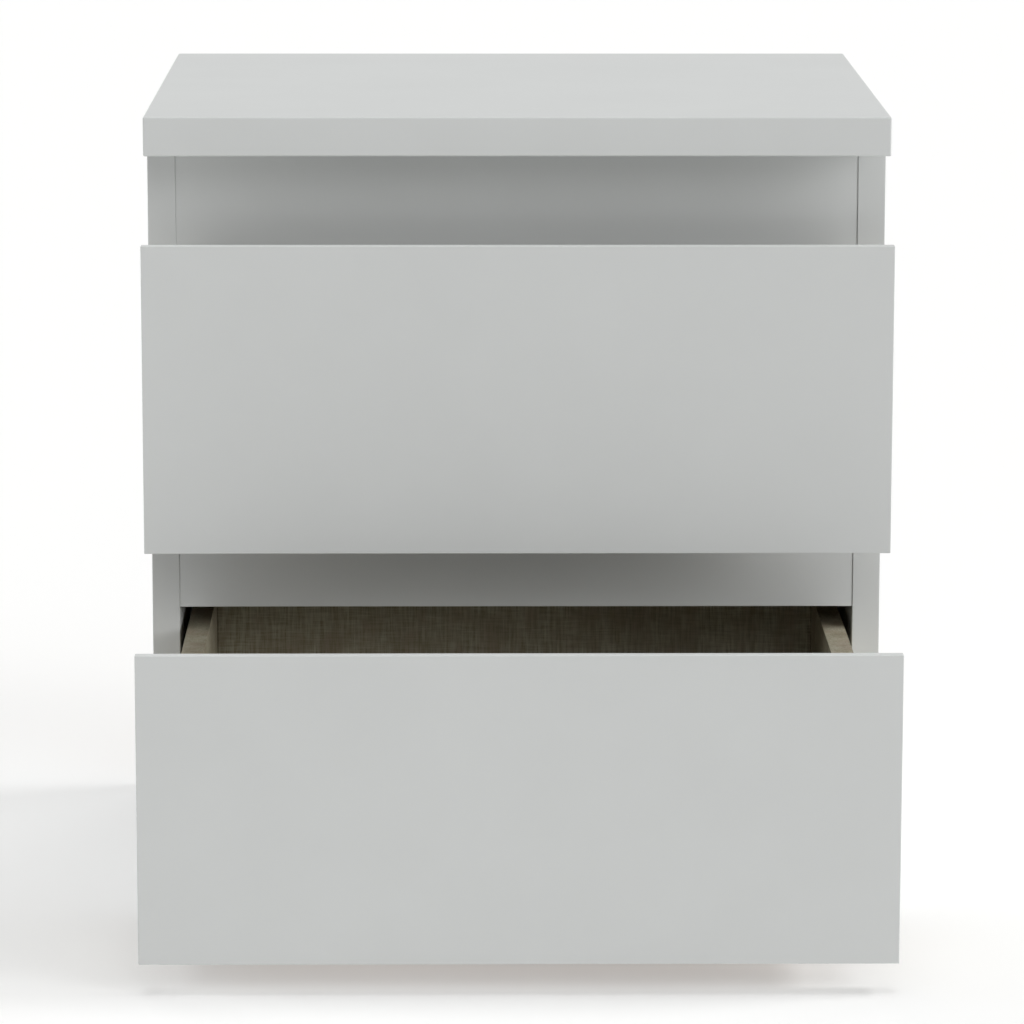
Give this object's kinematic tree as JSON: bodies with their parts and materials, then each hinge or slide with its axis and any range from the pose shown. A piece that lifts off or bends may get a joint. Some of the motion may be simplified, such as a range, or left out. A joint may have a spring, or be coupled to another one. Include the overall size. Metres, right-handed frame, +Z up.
{
  "type": "nightstand",
  "caption": "Bedside cabinet of light grey melamine board with an overhanging top and overlay drawers that have a bevelled top edge as the grip instead of handles.",
  "frame": {"origin": "on the floor, below the middle of the top panel", "axes": "+Z up, +X to the right seen from the front, +Y to the back (the drawers open towards -Y)"},
  "size_m": [0.4, 0.473, 0.45],
  "materials": {
    "grey_melamine": "matt light grey melamine on particle board, edges banded",
    "drawer_foil": "linen-patterned beige grey foil on fibreboard",
    "hardboard": "thin hardboard with a light printed face",
    "grey_polypropylene": "moulded matt grey",
    "zinc_steel": "zinc plated",
    "beech": "raw fluted beech"
  },
  "bodies": {
    "cabinet": {"top_panel": "grey_melamine", "left_side_panel": "grey_melamine", "right_side_panel": "grey_melamine", "apron_rail": "grey_melamine", "middle_rail": "grey_melamine", "bottom_panel": "grey_melamine", "back_panel": "hardboard", "lower_left_runner": "grey_polypropylene", "lower_right_runner": "grey_polypropylene", "upper_left_runner": "grey_polypropylene", "upper_right_runner": "grey_polypropylene", "foot_glides": "grey_polypropylene", "cabinet_cams": "zinc_steel", "cabinet_bolts": "zinc_steel", "cabinet_dowels": "beech", "back_nails": "zinc_steel", "runner_screws": "zinc_steel", "drawer_stops": "grey_polypropylene"},
    "lower_drawer": {"lower_drawer_front": "grey_melamine", "lower_drawer_left_side": "drawer_foil", "lower_drawer_right_side": "drawer_foil", "lower_drawer_back": "drawer_foil", "lower_drawer_bottom": "hardboard", "lower_drawer_left_guide": "grey_polypropylene", "lower_drawer_right_guide": "grey_polypropylene", "lower_drawer_cams": "zinc_steel", "lower_drawer_bolts": "zinc_steel", "lower_drawer_dowels": "beech", "lower_drawer_screws": "zinc_steel"},
    "upper_drawer": {"upper_drawer_front": "grey_melamine", "upper_drawer_left_side": "drawer_foil", "upper_drawer_right_side": "drawer_foil", "upper_drawer_back": "drawer_foil", "upper_drawer_bottom": "hardboard", "upper_drawer_left_guide": "grey_polypropylene", "upper_drawer_right_guide": "grey_polypropylene", "upper_drawer_cams": "zinc_steel", "upper_drawer_bolts": "zinc_steel", "upper_drawer_dowels": "beech", "upper_drawer_screws": "zinc_steel"}
  },
  "joints": [
    {"name": "lower_drawer_slide", "type": "slide", "parent": "cabinet", "child": "lower_drawer", "axis": [0, -1, 0], "range_m": [-0.141, 0.049]},
    {"name": "upper_drawer_slide", "type": "slide", "parent": "cabinet", "child": "upper_drawer", "axis": [0, -1, 0], "range_m": [-0.05, 0.14]}
  ]
}
